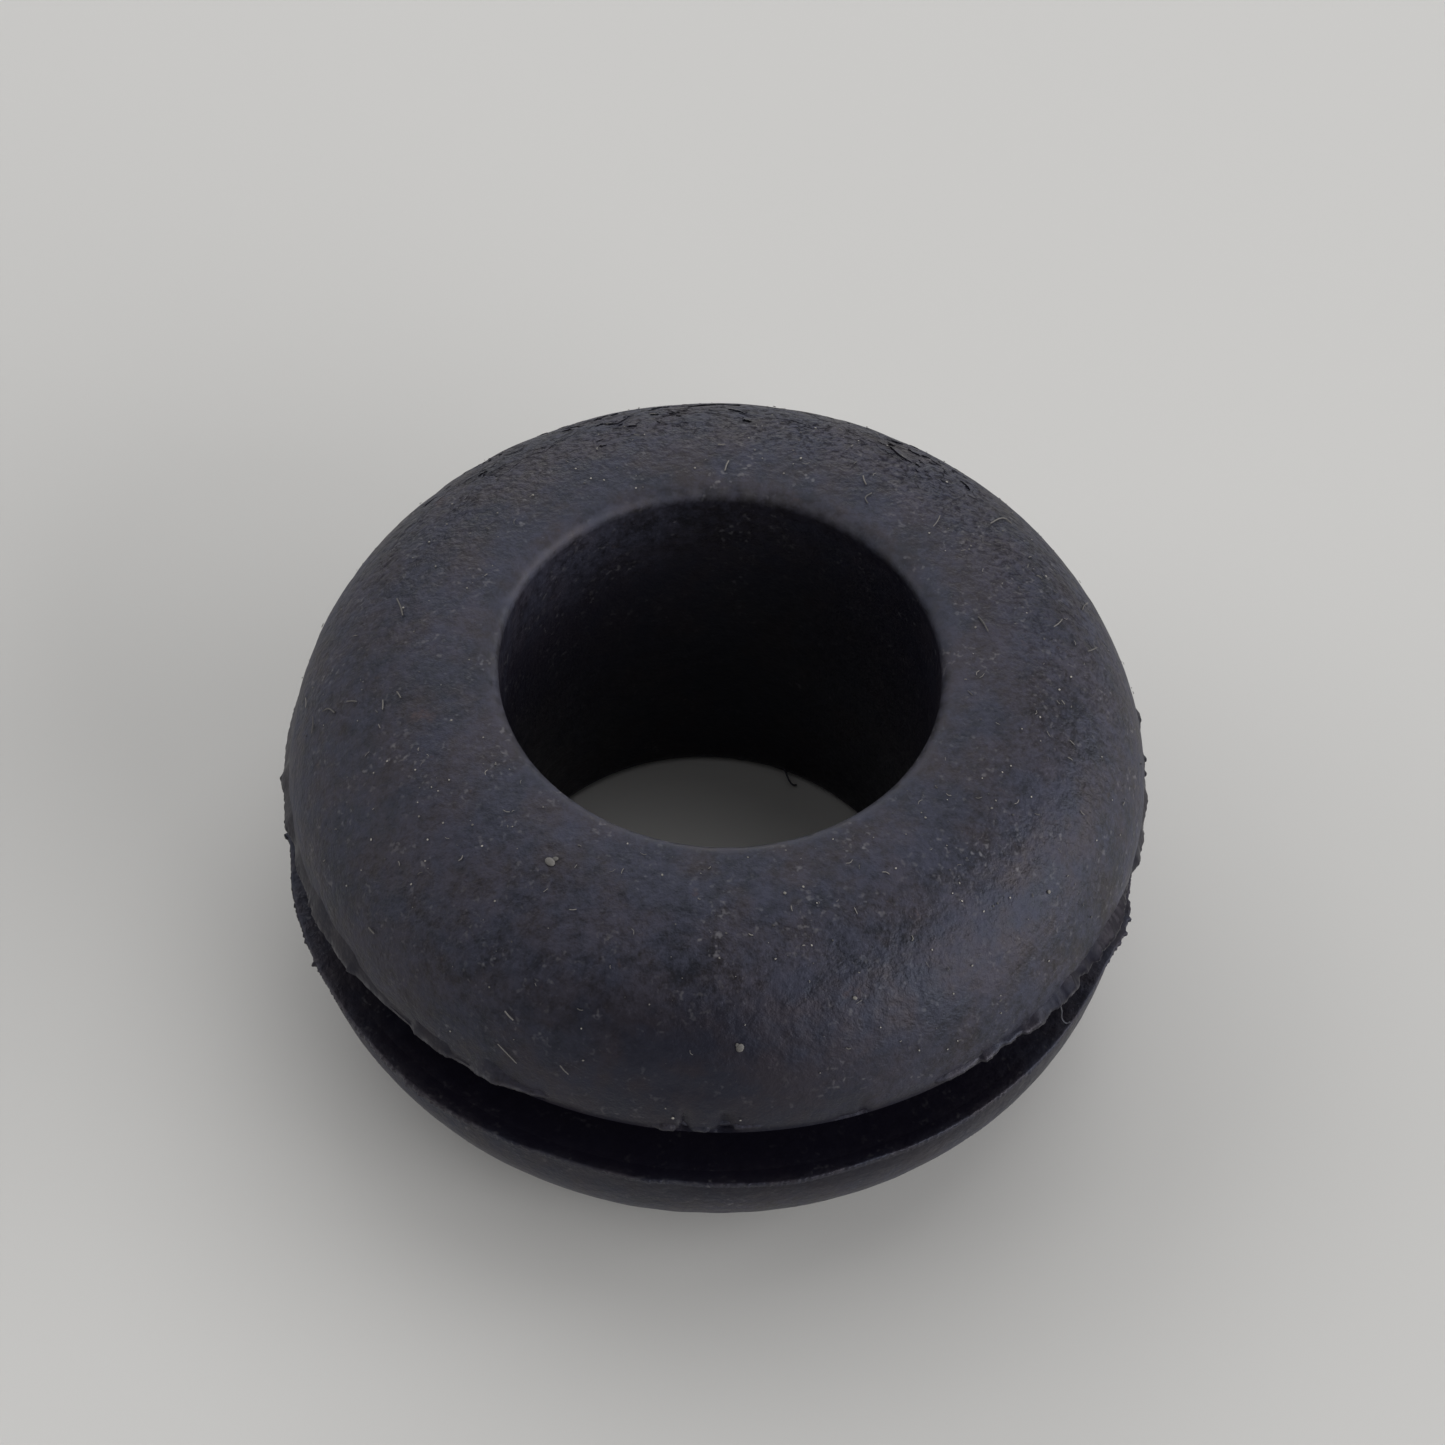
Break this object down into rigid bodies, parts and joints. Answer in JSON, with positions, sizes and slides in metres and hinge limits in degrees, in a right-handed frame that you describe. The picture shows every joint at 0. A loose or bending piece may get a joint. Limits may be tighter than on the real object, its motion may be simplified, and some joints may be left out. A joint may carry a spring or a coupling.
{
  "type": "rubber grommet",
  "caption": "Black moulded rubber grommet with two domed flanges, a panel groove between them and a straight through bore.",
  "frame": {"origin": "on the bore's axis, at the flat land of the lower flange that the grommet stands on", "axes": "+Z along the bore's axis, from the lower flange to the upper flange; -Y is the side with the torn stretch of flash"},
  "size_m": [0.0257, 0.0256, 0.0132],
  "materials": {
    "black_rubber": "matte, moulded, with dust and lint"
  },
  "bodies": {
    "root": {"grommet": "black_rubber"}
  },
  "joints": []
}
